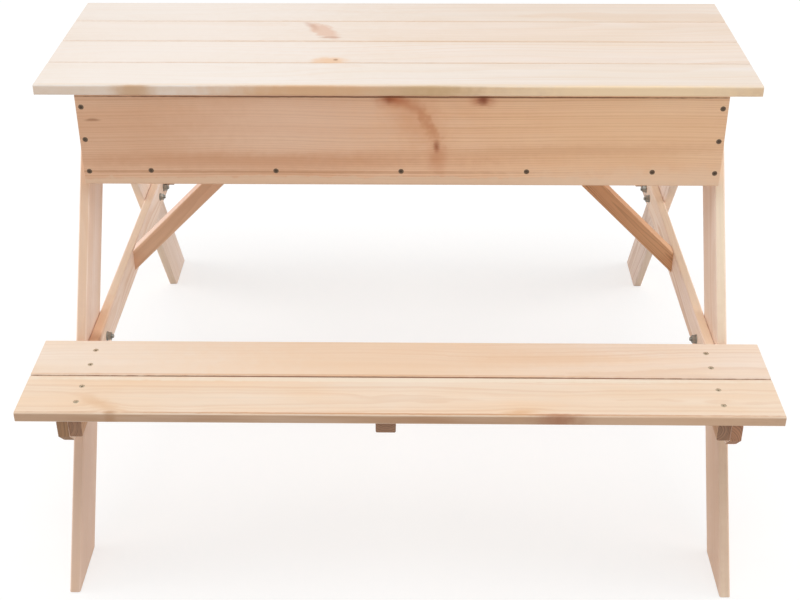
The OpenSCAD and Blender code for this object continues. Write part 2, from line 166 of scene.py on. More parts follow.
def pine_grain():
    """Node group of solid pine: the colour, gloss and height of the wood at a place, in mm.

    Place is along, across and through the board. The rings lie round the pith, which runs
    along the board; pale early wood turns slowly to a tan late line and back at once.
    """
    tree = bpy.data.node_groups.new("pine_grain", "ShaderNodeTree")
    wanted = {"Vector": ["Place", "Pith"],
              "Float": ["Push", "Slope", "Ring", "Depth", "Wander", "Seed", "Edge On", "End On"],
              "Color": ["Face", "Warm", "Line", "Edge", "End"]}
    made = {"Color": ["Color"], "Float": ["Roughness", "Height"]}
    for in_out, kinds in (("INPUT", wanted), ("OUTPUT", made)):
        for kind, names in kinds.items():
            for name in names:
                tree.interface.new_socket(name, in_out=in_out, socket_type="NodeSocket" + kind)
    given = add_node(tree, "NodeGroupInput").outputs

    def noise(spread, along_mm, across_mm, through_mm, detail, shift):
        """Noise of about -spread to spread, with features of these sizes, new for each board."""
        place = add_node(tree, "ShaderNodeVectorMath",
                         {0: given["Place"], 1: (1 / along_mm, 1 / across_mm, 1 / through_mm)},
                         operation="MULTIPLY")
        start = add_node(tree, "ShaderNodeMath", {0: given["Seed"], 1: shift}, operation="ADD")
        cloud = add_node(tree, "ShaderNodeTexNoise",
                         {"Vector": place, "W": start, "Scale": 1.0, "Detail": detail,
                          "Roughness": 0.55}, noise_dimensions="4D")
        swing = 1.6 * spread
        return add_node(tree, "ShaderNodeMath", {0: cloud, 1: 2 * swing, 2: -swing},
                        operation="MULTIPLY_ADD")

    # The grain wanders a few millimetres off straight along the board
    wander = noise(5.0, 330, 60, 60, 1.0, 1.0)
    sway = noise(9.0, 260, 400, 400, 0.0, 3.0)
    shiver = noise(0.55, 45, 9, 9, 1.0, 2.0)
    sideways = add_node(tree, "ShaderNodeCombineXYZ", {"Y": sway})
    from_pith = add_node(tree, "ShaderNodeVectorMath", {0: given["Place"], 1: given["Pith"]},
                         operation="SUBTRACT")
    from_pith = add_node(tree, "ShaderNodeVectorMath",
                         {0: sideways, 1: given["Wander"], 2: from_pith}, operation="MULTIPLY_ADD")
    outward = add_node(tree, "ShaderNodeVectorMath", {0: from_pith, 1: (0, 1, 1)},
                       operation="MULTIPLY")
    reach = add_node(tree, "ShaderNodeVectorMath", {0: outward}, operation="LENGTH")
    along = add_node(tree, "ShaderNodeSeparateXYZ", {0: given["Place"]}).outputs["X"]
    for shift, share in ((shiver, 1.0), (wander, given["Wander"]), (given["Push"], 1.0),
                         (along, given["Slope"])):
        reach = add_node(tree, "ShaderNodeMath", {0: shift, 1: share, 2: reach},
                         operation="MULTIPLY_ADD")

    # Some years are wide and some narrow, and each year's late line has its own strength
    years_pace, years_shift, least_line, line_range = 0.31, 2.2, 0.35, 0.75
    rings = add_node(tree, "ShaderNodeMath", {0: reach, 1: given["Ring"]}, operation="DIVIDE")
    some_years = add_node(tree, "ShaderNodeMath", {0: rings, 1: years_pace, 2: given["Seed"]},
                          operation="MULTIPLY_ADD")
    uneven = add_node(tree, "ShaderNodeTexNoise", {"W": some_years, "Scale": 1.0, "Detail": 1.0},
                      noise_dimensions="1D")
    rings = add_node(tree, "ShaderNodeMath", {0: uneven, 1: years_shift, 2: rings},
                     operation="MULTIPLY_ADD")
    season = add_node(tree, "ShaderNodeMath", {0: rings}, operation="FRACT")
    first_tan, full_tan = 0.25, 0.9
    rise = add_node(tree, "ShaderNodeMapRange",
                    {"Value": season, "From Min": first_tan, "From Max": full_tan},
                    interpolation_type="SMOOTHERSTEP")
    fall = add_node(tree, "ShaderNodeMapRange",
                    {"Value": season, "From Min": full_tan, "From Max": 1.0, "To Min": 1.0,
                     "To Max": 0.0})
    year = add_node(tree, "ShaderNodeMath", {0: rings}, operation="FLOOR")
    year = add_node(tree, "ShaderNodeMath", {0: year, 1: given["Seed"]}, operation="ADD")
    luck = add_node(tree, "ShaderNodeTexWhiteNoise", {"W": year}, noise_dimensions="1D")
    strong = add_node(tree, "ShaderNodeMath", {0: luck, 1: line_range, 2: least_line},
                      operation="MULTIPLY_ADD")
    late = rise
    for share in (fall, strong):
        late = add_node(tree, "ShaderNodeMath", {0: late, 1: share}, operation="MULTIPLY")

    # Fibres are under 0.1 mm wide, so they are drawn about 1 mm wide for them to show
    fibres = noise(1.0, 55, 0.9, 0.9, 2.0, 5.0)
    streaks = noise(1.0, 240, 5.0, 5.0, 2.0, 6.0)
    bands = noise(1.0, 700, 26, 26, 1.0, 7.0)
    clouds = noise(1.0, 150, 55, 55, 2.0, 8.0)
    patches = noise(0.65, 95, 60, 12, 1.0, 11.0)

    # The narrow sides show the same rings more steeply, in warm and grey patches. End grain is
    # darker, and its late lines darker still.
    warm_range, warm_middle, patch_middle, least_edge, end_line_share = 0.5, 0.45, 0.5, 0.55, 0.45
    warmth = add_node(tree, "ShaderNodeMath", {0: bands, 1: clouds}, operation="ADD")
    warmth = add_node(tree, "ShaderNodeMath", {0: warmth, 1: warm_range, 2: warm_middle},
                      operation="MULTIPLY_ADD", use_clamp=True)
    lined = add_node(tree, "ShaderNodeMath", {0: late, 1: given["Depth"]},
                     operation="MULTIPLY", use_clamp=True)
    patches = add_node(tree, "ShaderNodeMath", {0: patches, 1: patch_middle}, operation="ADD",
                       use_clamp=True)
    on_side = add_node(tree, "ShaderNodeMath", {0: patches, 1: 1 - least_edge, 2: least_edge},
                       operation="MULTIPLY_ADD")
    on_side = add_node(tree, "ShaderNodeMath", {0: on_side, 1: given["Edge On"]},
                       operation="MULTIPLY")
    end_line = add_node(tree, "ShaderNodeVectorMath", {0: given["End"], 3: end_line_share},
                        operation="SCALE")
    end = add_node(tree, "ShaderNodeMix", {0: late, 6: given["End"], 7: end_line},
                   data_type="RGBA")
    colour = given["Face"]
    for share, layer in ((warmth, given["Warm"]), (lined, given["Line"]),
                         (on_side, given["Edge"]), (given["End On"], end)):
        colour = add_node(tree, "ShaderNodeMix", {0: share, 6: colour, 7: layer},
                          data_type="RGBA")

    # Each of these starts from a value, to which the fibres, streaks and late lines add
    sums = {"Tone": [1.0, (streaks, 0.03), (fibres, 0.03)],
            "Roughness": [0.68, (fibres, 0.05), (late, -0.08)],
            "Height": [0.0, (fibres, 0.5), (late, 0.6)]}
    for name, (total, *terms) in sums.items():
        for term, share in terms:
            total = add_node(tree, "ShaderNodeMath", {0: term, 1: share, 2: total},
                             operation="MULTIPLY_ADD")
        sums[name] = total
    colour = add_node(tree, "ShaderNodeVectorMath", {0: colour, 3: sums["Tone"]},
                      operation="SCALE")
    add_node(tree, "NodeGroupOutput", {"Color": colour, "Roughness": sums["Roughness"],
                                       "Height": sums["Height"]})
    return tree


grain = pine_grain()


def pine_board(name, along, across, face, warm, line, edge, end, pith=(0, 5, -60), ring=3.4,
               depth=0.5, wander=1.0, slope=0.0, seed=0.0, marks=()):
    """Gives a board its own piece of bare pine: the grain runs along it, round its own pith.

    A mark is a knot or a stain on the board's wide face: its place along and across, half its
    length and width, its turn in degrees, colour, strength, how soft its rim is from 0 to 1,
    and how far it pushes the grain aside, all lengths in mm from the middle of the board.
    """
    low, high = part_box(name)
    wood = bpy.data.materials.new("bare_pine_" + name)
    tree, out = new_tree(wood)
    along, across = Vector(along).normalized(), Vector(across).normalized()
    turn = Matrix((along, across, along.cross(across))).transposed().to_euler()
    spot = add_node(tree, "ShaderNodeTexCoord").outputs
    mm = 0.001
    place = add_node(tree, "ShaderNodeMapping",
                     {"Vector": spot["Object"], "Location": (low + high) / 2, "Rotation": turn,
                      "Scale": (mm, mm, mm)}, vector_type="TEXTURE")

    def faces(direction, start, full):
        """How squarely the surface faces along a direction of the board, either way."""
        dot = add_node(tree, "ShaderNodeVectorMath", {0: spot["Normal"], 1: direction},
                       operation="DOT_PRODUCT")
        flat = add_node(tree, "ShaderNodeMath", {0: dot}, operation="ABSOLUTE")
        return add_node(tree, "ShaderNodeMapRange",
                        {"Value": flat, "From Min": start, "From Max": full},
                        interpolation_type="SMOOTHSTEP")

    # A mark's rim is torn by noise, it reaches through the board, and its push fades out
    torn, torn_per_mm, through_mm, push_reach = 0.9, 0.09, 1e6, 3.6
    push, laid = 0.0, []
    for i, (x, y, half_l, half_w, angle, colour, strength, soft, shove) in enumerate(marks):
        rough = add_node(tree, "ShaderNodeTexNoise",
                         {"Vector": place, "W": seed + i, "Scale": torn_per_mm, "Detail": 2.0},
                         noise_dimensions="4D").outputs["Color"]
        rough = add_node(tree, "ShaderNodeVectorMath", {0: rough, 1: (0.5, 0.5, 0.5)},
                         operation="SUBTRACT")
        rough = add_node(tree, "ShaderNodeVectorMath",
                         {0: rough, 1: (half_l * torn, half_w * torn, 0), 2: place},
                         operation="MULTIPLY_ADD")
        centred = add_node(tree, "ShaderNodeMapping",
                           {"Vector": rough, "Location": (x, y, 0),
                            "Rotation": (0, 0, math.radians(angle)),
                            "Scale": (half_l, half_w, through_mm)}, vector_type="TEXTURE")
        out_by = add_node(tree, "ShaderNodeVectorMath", {0: centred}, operation="LENGTH")
        inside = add_node(tree, "ShaderNodeMapRange",
                          {"Value": out_by, "From Min": 1.0 + soft, "From Max": 1.0 - soft,
                           "To Min": 0.0, "To Max": strength}, interpolation_type="SMOOTHSTEP")
        laid.append((inside, colour))
        if shove:
            near = add_node(tree, "ShaderNodeMapRange",
                            {"Value": out_by, "From Min": push_reach, "From Max": 0.0,
                             "To Min": 0.0, "To Max": shove}, interpolation_type="SMOOTHERSTEP")
            push = add_node(tree, "ShaderNodeMath", {0: near, 1: push}, operation="ADD")

    given = {"Place": place, "Pith": pith, "Push": push, "Slope": slope, "Ring": ring,
             "Depth": depth, "Wander": wander, "Seed": seed, "Edge On": faces(across, 0.85, 1.0),
             "End On": faces(along, 0.4, 0.6), "Face": linear(face), "Warm": linear(warm),
             "Line": linear(line), "Edge": linear(edge), "End": linear(end)}
    wood_at = add_node(tree, "ShaderNodeGroup", given, node_tree=grain).outputs
    colour = wood_at["Color"]
    for inside, mark_colour in laid:
        colour = add_node(tree, "ShaderNodeMix", {0: inside, 6: colour, 7: linear(mark_colour)},
                          data_type="RGBA")
    bump_share, fibre_height = 0.35, 0.0003
    bump = add_node(tree, "ShaderNodeBump", {"Strength": bump_share, "Distance": fibre_height,
                                             "Height": wood_at["Height"]})
    shader = add_node(tree, "ShaderNodeBsdfPrincipled",
                      {"Base Color": colour, "Roughness": wood_at["Roughness"], "IOR": 1.45,
                       "Normal": bump})
    tree.links.new(shader.outputs[0], out.inputs["Surface"])
    piece = nodes[name]
    piece.data.materials.clear()
    piece.data.materials.append(wood)


# On each front leg, a darker patch over the lower part and a tan strip along the front edge are
# painted shade under the bench.
leg_woods = {
    "front_left": dict(face="#fbe8dc", warm="#f2d7c2", line="#dcae8a", edge="#e9c4a4",
                       end="#b98e68", seed=1.3, pith=(0, 70, -24), depth=0.32,
                       marks=[(-240, 4, 190, 60, 0, "#dfc0ac", 0.75, 0.9, 0),
                              (-250, -38, 190, 5, 0, "#c99670", 0.85, 0.7, 0)]),
    "front_right": dict(face="#f5e0d1", warm="#f1d7c2", line="#d7a981", edge="#feebd0",
                        end="#b98e68", seed=7.1, pith=(0, -12, -30), depth=0.32,
                        marks=[(-240, 4, 190, 60, 0, "#d9b59a", 0.65, 0.9, 0),
                               (-260, -38, 190, 5, 0, "#d8a470", 0.65, 0.7, 0)]),
    "rear_left": dict(face="#f9e6da", warm="#f3dbc8", line="#ddbb99", edge="#f3dac0",
                      end="#b98e68", seed=13.9, pith=(0, 14, -40), depth=0.4),
    "rear_right": dict(face="#f3e1d6", warm="#edd6c5", line="#cba58b", edge="#efd6be",
                       end="#a98466", seed=19.4, pith=(0, -6, -34), depth=0.5),
}
for corner, wood in leg_woods.items():
    lean = 1 if corner.startswith("front") else -1
    up_the_leg = (0, lean * math.sin(leg_splay), math.cos(leg_splay))
    over_the_leg = (0, math.cos(leg_splay), -lean * math.sin(leg_splay))
    pine_board("leg_" + corner, up_the_leg, over_the_leg, **wood)


# Seat beams
# Two pine boards on edge, 44 mm high, which run from bench to bench on the inner side of the
# legs. Their lower end corners are sawn off. Four bolts hold each to its legs.
beam_woods = {
    "left": dict(face="#fce8db", warm="#f7dcc5", line="#ddae84", edge="#fce3c8", end="#aa8260",
                 seed=23.7, pith=(0, 8, -45),
                 marks=[(-225, 22, 70, 6, 0, "#e3ae82", 0.6, 1.0, 0),
                        (-250, 20, 14, 6, 0, "#a8663f", 0.6, 1.0, 3)]),
    "right": dict(face="#f7e2d5", warm="#f2d8bf", line="#d4a277", edge="#f8dec1", end="#bd8a6a",
                  seed=31.2, pith=(0, -9, -22), ring=2.6),
}
for side, wood in beam_woods.items():
    pine_board("seat_beam_" + side, (0, 1, 0), (0, 0, 1), **wood)


# Sand box
# Four pine boards, 14 mm thick and 130 mm high, screwed together at the corners. They are from
# darker heartwood, warm tan with clear lines, and the front one has knots and a pale strip of
# sapwood along its lower edge.
knot_brown = "#8f5233"
pine_board("box_panel_front", (1, 0, 0), (0, 0, 1), face="#fbd3b3", warm="#ecb68e",
           line="#c98a5c", edge="#f0c8a6", end="#b98a62", seed=41.5, pith=(0, 150, 40),
           ring=3.4, depth=0.46, wander=0.3,
           marks=[(-340, 10, 220, 90, 0, "#dcb192", 0.55, 1.0, 0),
                  (-130, 30, 130, 50, 0, "#f6d4bc", 0.45, 1.0, 0),
                  (320, 20, 230, 90, 0, "#fdd2a4", 0.5, 1.0, 0),
                  (-200, -30, 250, 10, 0, "#cc9068", 0.45, 0.9, 0),
                  (210, -14, 210, 7, 1, "#cf966a", 0.3, 0.9, 0),
                  (-30, -67, 560, 15, 0, "#eccbae", 0.75, 0.12, 0),
                  (400, -62, 230, 22, 0, "#f8d5b6", 0.7, 0.45, 0),
                  (-200, -46, 340, 1.8, 0, "#b57b52", 0.45, 0.7, 0),
                  (22, 30, 42, 24, -50, "#d58f5e", 0.4, 1.0, 0),
                  (-12, 58, 15, 8, 0, "#bd6639", 0.75, 1.0, 0),
                  (-15, 58, 6, 4, 0, "#8c4726", 0.6, 1.0, 2),
                  (106, 57, 13, 7, 0, "#b9653f", 0.7, 1.0, 0),
                  (106, 57, 5, 5, 0, "#854022", 0.75, 1.0, 2),
                  (7, 51, 21, 6, -25, "#c06a38", 0.45, 1.0, 0),
                  (36, 20, 28, 5, -65, "#c06c38", 0.42, 1.0, 0),
                  (47, -9, 3, 6, 0, "#8f4a28", 0.75, 1.0, 1),
                  (48, -26, 9, 16, 0, "#c67346", 0.4, 1.0, 0),
                  (-405, 28, 9, 1.8, 0, "#96603c", 0.6, 0.7, 2),
                  # The last mark, a dark brown line along the top edge under the lid, is painted
                  # shadow.
                  (0, 61.2, 500, 1.1, 0, "#6d4329", 0.85, 0.5, 0)])
pine_board("box_panel_rear", (1, 0, 0), (0, 0, 1), face="#f6cdad", warm="#efc29c",
           line="#c88c5e", edge="#f0c8a6", end="#b98a62", seed=47.2, pith=(0, 30, -60),
           ring=4.0, depth=0.42,
           marks=[(-210, 20, 11, 8, 10, knot_brown, 0.8, 0.3, 9),
                  (250, -30, 8, 6, 0, knot_brown, 0.8, 0.3, 7)])
for side, seed in (("left", 53.6), ("right", 59.8)):
    pine_board("box_end_" + side, (0, 1, 0), (0, 0, 1), face="#f4cdaf", warm="#edc09a",
               line="#c68e64", edge="#eec6a4", end="#b98a62", seed=seed, pith=(0, 12, 50),
               ring=3.8, depth=0.42)


# Floor of the sand box
# Ten short pine boards across the box, a millimetre apart so that rain drains through the sand.
# They are screwed to a batten on edge behind each long wall.
for side, seed in (("front", 61.4), ("rear", 66.9)):
    pine_board("floor_ledger_" + side, (1, 0, 0), (0, 0, 1), face="#e0b48c", warm="#d9a97e",
               line="#b67c4e", edge="#e0b48c", end="#ab7c54", seed=seed, pith=(0, 16, -20),
               ring=2.8, depth=0.5)
floor_boards = sorted(n for n in nodes if n.startswith("floor_board_"))
floor_tans = ["#f0d2b4", "#ecccae", "#eed6bc", "#e8c6a6"]
for i, name in enumerate(floor_boards):
    pine_board(name, (0, 1, 0), (1, 0, 0), face=floor_tans[i % 4], warm="#e4bd98",
               line="#c99a72", edge="#e6c19c", end="#c0946c", seed=70 + 3.7 * i,
               pith=(0, 26 * math.cos(2.1 * i), -32 - 9 * (i % 3)), ring=3.2 + 0.3 * (i % 3),
               depth=0.5)


# Braces
# Two pine battens, 24 mm square, which rise at 45 degrees from near the middle of each seat
# beam to the floor of the box. Each is held by one screw at either end.
# The left brace's upper-left side is painted pale pink, as painted light from the left, and the
# right brace's upper-right side tan brown, as painted shade.
brace_woods = {
    "left": dict(face="#efc8a6", warm="#e6b898", line="#c4926c", edge="#f6dacb", end="#a87850",
                 seed=111.5, pith=(0, 10, -18)),
    "right": dict(face="#e0ad82", warm="#d39a70", line="#9b6a44", edge="#cf9f78", end="#a87850",
                  seed=117.3, pith=(0, 18, -6), ring=2.2, depth=0.8,
                  marks=[(-90, 0, 80, 60, 0, "#e2ad82", 0.5, 1.0, 0)]),
}
for side, wood in brace_woods.items():
    inward = 1 if side == "left" else -1
    pine_board("brace_" + side, (inward, 0, 1), (-inward, 0, 1), **wood)


# Benches
# Each bench is two pine boards on three cross battens: one on edge at each end, screwed to the
# seat beam, and a flat one under the middle. Eight screws hold the boards at the ends.
# The narrow sides of the bench boards are painted darker than their tops: partly the wood's own
# edge tone, partly painted shade on their front and back sides.
bench_woods = {
    "front_outer": dict(
        face="#f1dfcb", warm="#f0cfad", line="#d3a073", edge="#c49a79", end="#b48c68",
        seed=121.8, pith=(0, -8, -52), slope=0.004, depth=0.24, wander=0.5,
        # The first two marks, a pale band and a near-white line along the rear edge, are painted
        # highlight on the rounded arris beside the seam.
        marks=[(-20, 35, 470, 4.5, 0, "#f6ead8", 0.7, 0.5, 0),
               (0, 40.6, 500, 1.2, 0, "#fff6e8", 0.8, 0.4, 0),
               (60, -38.6, 460, 1.4, 0, "#c48a5e", 0.75, 0.5, 0),
               (-370, -22, 26, 8, -30, "#deb48a", 0.5, 1.0, 2),
               (-356, -39, 6, 3, 0, "#b07d52", 0.55, 1.0, 2),
               (150, -34, 18, 5, 10, "#deb083", 0.6, 0.9, 2),
               (200, -42, 24, 4, 0, "#a3603b", 0.75, 1.0, 2),
               (352, -41.5, 120, 2.4, 0, "#e3bd9c", 0.8, 0.8, 0)]),
    "front_inner": dict(
        face="#f2dfce", warm="#eed2b6", line="#d5a57b", edge="#d59f74", end="#b48c68",
        seed=127.4, pith=(0, -30, -60), slope=-0.004, depth=0.22, wander=0.5,
        marks=[(-330, 0, 200, 60, 0, "#f4e8da", 0.6, 1.0, 0),
               (-60, 4, 250, 60, 0, "#f2cfa9", 0.5, 1.0, 0),
               (-110, -38.4, 400, 1.6, 0, "#d9a678", 0.6, 0.7, 0),
               # The next mark, a dark brown line along the front edge, is painted shade in the
               # seam between the front boards.
               (0, -41.3, 500, 1.0, 0, "#8f5f3c", 0.85, 0.4, 0),
               (200, 4, 90, 14, 2, "#e9c29c", 0.45, 0.9, 4)]),
    "rear_outer": dict(
        face="#efe0d0", warm="#ebd3bb", line="#d6a981", edge="#cda27f", end="#b48c68",
        seed=133.9, pith=(0, 10, -58), slope=0.004, depth=0.26, wander=0.5,
        marks=[(-160, 8, 10, 7, 15, "#a56c46", 0.7, 0.4, 8)]),
    "rear_inner": dict(
        face="#f0e0d0", warm="#ecd4bb", line="#d6a981", edge="#cda27f", end="#b48c68",
        seed=139.6, pith=(0, 24, -50), slope=-0.004, depth=0.26, wander=0.5),
}
for place, wood in bench_woods.items():
    pine_board(f"bench_{place}_board", (1, 0, 0), (0, 1, 0), **wood)
for end, seed in (("front", 144.1), ("rear", 156.3)):
    for i, place in enumerate(("left", "middle", "right")):
        over = (1, 0, 0) if place == "middle" else (0, 0, 1)
        pine_board(f"bench_{end}_batten_{place}", (0, 1, 0), over, face="#dcb494",
                   warm="#d4a884", line="#a87650", edge="#dab08c", end="#ab8368",
                   seed=seed + 3.1 * i, pith=(0, 4, -14), ring=2.4, depth=0.5)


# Lids
# The table top: two lids, each of two very pale pine boards side by side on three flat battens.
# The battens drop inside the box, so a lid can't slide, and it lifts straight off.
lid_woods = {
    "front_outer": dict(face="#f0e5dc", warm="#ecdccb", line="#e6cbb0", edge="#e4c09a",
                        end="#d3b290", seed=161.7, pith=(0, 26, -64), slope=0.006),
    "front_inner": dict(face="#f0e2d7", warm="#eddac8", line="#e6c8ac", edge="#e8cdb0",
                        end="#d3b290", seed=167.2, pith=(0, -34, -56), slope=-0.008),
    "rear_inner": dict(face="#efdfd2", warm="#ead6c3", line="#e4c5a8", edge="#e8cdb0",
                       end="#d3b290", seed=173.8, pith=(0, 30, -60), slope=0.008),
    "rear_outer": dict(face="#eddfd3", warm="#e9d7c6", line="#e4c6aa", edge="#e8cdb0",
                       end="#d3b290", seed=179.1, pith=(0, -20, -62), slope=-0.005),
}
lid_left = (-340, 0, 260, 90, 0, "#f7efe8", 0.6, 1.0, 0)
# A tan line along one edge of three boards is painted shade in the seams between the boards.
lid_seam_shade = (0, -41.4, 520, 1.5, 0, "#d3aa80", 0.4, 0.6, 0)
lid_marks = {
    "front_outer": [
        lid_left,
        (0, -37, 520, 3, 0, "#ecd7bd", 0.6, 0.7, 0),
        (-340, -41.5, 22, 2.2, 0, "#d2a77c", 0.8, 0.8, 0),
        (-110, -41.5, 110, 2.2, 0, "#e3b488", 0.85, 0.8, 0),
        (45, -41.5, 50, 2.2, 0, "#d3b083", 0.8, 0.8, 0),
        (310, -41.5, 170, 2.4, 0, "#ffe3bc", 0.9, 0.8, 0)],
    "front_inner": [
        lid_left,
        lid_seam_shade,
        (-92, -34, 20, 11, 0, "#ecc096", 0.75, 0.6, 3),
        (-84, -31, 3, 3, 0, "#9a6a48", 0.7, 0.5, 0)],
    "rear_inner": [
        lid_left,
        lid_seam_shade,
        (-108, 1, 14, 36, 31, "#e2bda6", 0.8, 0.35, 3),
        (-126, 22, 5, 16, 31, "#c08e74", 0.4, 0.8, 0),
        (-96, -27, 13, 4, 0, "#b88468", 0.5, 0.7, 0)],
    "rear_outer": [lid_left, lid_seam_shade],
}
for place, wood in lid_woods.items():
    pine_board(f"lid_{place}_board", (1, 0, 0), (0, 1, 0), ring=4.6, depth=0.38,
               marks=lid_marks[place], **wood)
for end, seed in (("front", 184.4), ("rear", 195.2)):
    for i, place in enumerate(("left", "middle", "right")):
        pine_board(f"lid_{end}_batten_{place}", (0, 1, 0), (1, 0, 0), face="#e8ccb0",
                   warm="#e2c09c", line="#c8996e", edge="#e4c4a2", end="#c39c74",
                   seed=seed + 2.9 * i, pith=(0, 9, -16), ring=2.6, depth=0.5)


# Bolts, washers and nuts
# Sixteen zinc-plated steel carriage bolts, two through each end of every leg. The domed head is
# on the outer side; a washer and a hexagon nut hold it on the inner side.
bolt_d, bolt_head_d, bolt_head_h, bolt_tip = 0.006, 0.014, 0.0035, 0.003
thread_pitch, thread_depth = 0.001, 0.0004
washer_d, washer_t, washer_edge = 0.013, 0.0016, 0.0003
nut_af, nut_t = 0.010, 0.005
bore_play = 0.0002
bore_d = bolt_d + 2 * bore_play
leg_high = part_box("leg_rear_right")[1]
beam_low, beam_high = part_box("seat_beam_right")
through_wood = leg_high.x - beam_low.x

# Two bolts lie 36 mm apart across the middle of the leg, at the beam 10 mm behind it
bolt_step, bolt_shift, leg_width = 0.036, 0.010, 0.076
foot_y = leg_high.y - leg_width / math.cos(leg_splay) / 2
top_bolts_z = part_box("carriage_bolts")[1].z - bolt_head_d / 2
bolt_places = [(Vector((side * leg_high.x,
                        end * (foot_y - z * math.tan(leg_splay)) + shift + k * bolt_step / 2, z)),
                Vector((side, 0, 0)))
               for side in (-1, 1)
               for z, shift in (((beam_low.z + beam_high.z) / 2, bolt_shift), (top_bolts_z, 0.0))
               for end in (-1, 1) for k in (-1, 1)]


def fastener_tree(name, sizes, shares):
    """Geometry Nodes tree that takes places, these named sizes and a metal, and its values.

    Shares are the sizes that follow from others: each is a size named before it, and a factor.
    """
    tree = bpy.data.node_groups.new(name, "GeometryNodeTree")
    wanted = {"Geometry": "Geometry", **dict.fromkeys(sizes, "Float"), "Metal": "Material"}
    for socket, kind in wanted.items():
        tree.interface.new_socket(socket, in_out="INPUT", socket_type="NodeSocket" + kind)
    tree.interface.new_socket("Geometry", in_out="OUTPUT", socket_type="NodeSocketGeometry")
    given = dict(add_node(tree, "NodeGroupInput").outputs.items())
    for share, (size, factor) in shares.items():
        given[share] = add_node(tree, "ShaderNodeMath", {0: given[size], 1: factor},
                                operation="MULTIPLY")
    return tree, given


def lift(tree, shape, height):
    """Moves a shape along the fastener's axis, which points out of the wood."""
    move = add_node(tree, "ShaderNodeCombineXYZ", {"Z": height})
    return add_node(tree, "GeometryNodeTransform", {"Geometry": shape, "Translation": move})


def rod(tree, radius, bottom, length, sides=32, top_radius=None):
    """Round bar, or a cone where the top radius differs, standing on the height bottom."""
    bar = add_node(tree, "GeometryNodeMeshCone",
                   {"Vertices": sides, "Radius Bottom": radius, "Depth": length,
                    "Radius Top": radius if top_radius is None else top_radius})
    return lift(tree, bar, bottom)


def set_at_points(tree, given, shapes, seed):
    """Sets the shapes at every point, square to the wood and turned by chance."""
    sharp_angle = math.radians(32)
    bend = add_node(tree, "GeometryNodeInputMeshEdgeAngle")
    sharp = add_node(tree, "FunctionNodeCompare", {0: bend, 1: sharp_angle}, data_type="FLOAT",
                     operation="GREATER_THAN")
    shape = add_node(tree, "GeometryNodeJoinGeometry", {0: shapes})
    shape = add_node(tree, "GeometryNodeSetShadeSmooth",
                     {"Geometry": shape, "Shade Smooth": True}, domain="FACE")
    shape = add_node(tree, "GeometryNodeSetShadeSmooth",
                     {"Geometry": shape, "Selection": sharp, "Shade Smooth": False},
                     domain="EDGE")
    outward = add_node(tree, "GeometryNodeInputNamedAttribute", {"Name": "outward"},
                       data_type="FLOAT_VECTOR")
    square = add_node(tree, "FunctionNodeAlignRotationToVector",
                      {"Factor": 1.0, "Vector": outward}, axis="Z")
    turn = add_node(tree, "FunctionNodeRandomValue", {2: 0.0, 3: 2 * math.pi, "Seed": seed},
                    data_type="FLOAT")
    spin = add_node(tree, "ShaderNodeCombineXYZ", {"Z": turn})
    laid = add_node(tree, "GeometryNodeInstanceOnPoints",
                    {"Points": given["Geometry"], "Instance": shape, "Rotation": square})
    laid = add_node(tree, "GeometryNodeRotateInstances", {"Instances": laid, "Rotation": spin})
    solid = add_node(tree, "GeometryNodeRealizeInstances", {"Geometry": laid})
    solid = add_node(tree, "GeometryNodeSetMaterial",
                     {"Geometry": solid, "Material": given["Metal"]})
    add_node(tree, "NodeGroupOutput", {0: solid})


def fasten(tree, name, places, sizes, metal, body, node):
    """Makes the fasteners of one kind and body as a plain mesh, in place of their CAD node."""
    spots = bpy.data.meshes.new(name + "_places")
    spots.from_pydata([place for place, outward in places], [], [])
    directions = spots.attributes.new("outward", "FLOAT_VECTOR", "POINT")
    for item, (place, outward) in zip(directions.data, places):
        item.vector = outward
    piece = bpy.data.objects.new(name, spots)
    bpy.context.scene.collection.objects.link(piece)
    maker = piece.modifiers.new("maker", "NODES")
    maker.node_group = tree
    sockets = {item.name: item.identifier for item in tree.interface.items_tree
               if item.in_out == "INPUT"}
    for size, value in sizes.items():
        maker[sockets[size]] = value
    maker[sockets["Metal"]] = metal
    bpy.context.view_layer.update()
    seen_as = piece.evaluated_get(bpy.context.evaluated_depsgraph_get())
    plain = bpy.data.meshes.new_from_object(seen_as)
    piece.modifiers.remove(maker)
    piece.data = plain
    plain.name = name
    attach(piece, body)
    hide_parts(node)


def plated_steel(name, deep, pale, cloud, scuff, roughness, raised):
    """Zinc-plated steel: cloudy between two tones, with a soft gloss broken by low scuffs.

    Cloud and scuff are each a size in mm and how finely it breaks up. Roughness is the value
    where a scuff is low and where it is high.
    """
    zinc = bpy.data.materials.new(name)
    tree, out = new_tree(zinc)
    spot = add_node(tree, "ShaderNodeTexCoord").outputs["Object"]
    clouds, scuffs = (add_node(tree, "ShaderNodeTexNoise",
                               {"Vector": spot, "Scale": 1000 / size_mm, "Detail": detail})
                      for size_mm, detail in (cloud, scuff))
    colour = add_node(tree, "ShaderNodeMix", {0: clouds, 6: linear(deep), 7: linear(pale)},
                      data_type="RGBA")
    gloss = add_node(tree, "ShaderNodeMapRange",
                     {"Value": scuffs, "From Min": 0.3, "From Max": 0.7,
                      "To Min": roughness[0], "To Max": roughness[1]})
    bump = add_node(tree, "ShaderNodeBump", {"Strength": raised, "Distance": 0.0001,
                                             "Height": scuffs})
    metal = add_node(tree, "ShaderNodeBsdfPrincipled",
                     {"Base Color": colour, "Metallic": 1.0, "Roughness": gloss,
                      "Normal": bump})
    tree.links.new(metal.outputs[0], out.inputs["Surface"])
    return zinc


# Fresh plating on bolts, washers and nuts: a cool grey, faintly yellow in clouds
zinc_plating = plated_steel("zinc_plating", "#93979a", "#b3ae9f", (3.0, 3.0), (0.5, 2.0),
                            (0.28, 0.5), 0.25)

